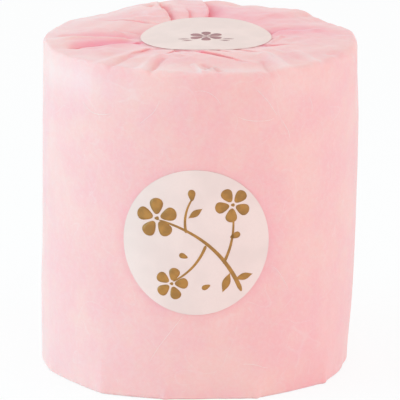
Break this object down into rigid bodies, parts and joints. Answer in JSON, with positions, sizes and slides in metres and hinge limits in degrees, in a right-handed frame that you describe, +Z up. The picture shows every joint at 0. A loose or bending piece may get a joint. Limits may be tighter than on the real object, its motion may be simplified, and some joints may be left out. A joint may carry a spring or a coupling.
{
  "type": "toilet paper roll",
  "caption": "Toilet paper roll sealed in its own sheet of gathered paper, with a round label on the top folds and one on the front.",
  "frame": {"origin": "middle of the base, on the surface that the roll stands on", "axes": "+Z up along the roll's axis, -Y towards the front label, +X to the right of someone who faces the front"},
  "size_m": [0.108, 0.1082, 0.1166],
  "materials": {
    "wrapping_paper": "matte, thin, cloudy, with long pale fibres",
    "top_label_paper": "matte, pale cream pink",
    "front_label_paper": "matte, pale cream pink, with a gold-brown print"
  },
  "bodies": {
    "root": {"wrapped_roll": "wrapping_paper", "top_label": "top_label_paper", "front_label": "front_label_paper"}
  },
  "joints": []
}
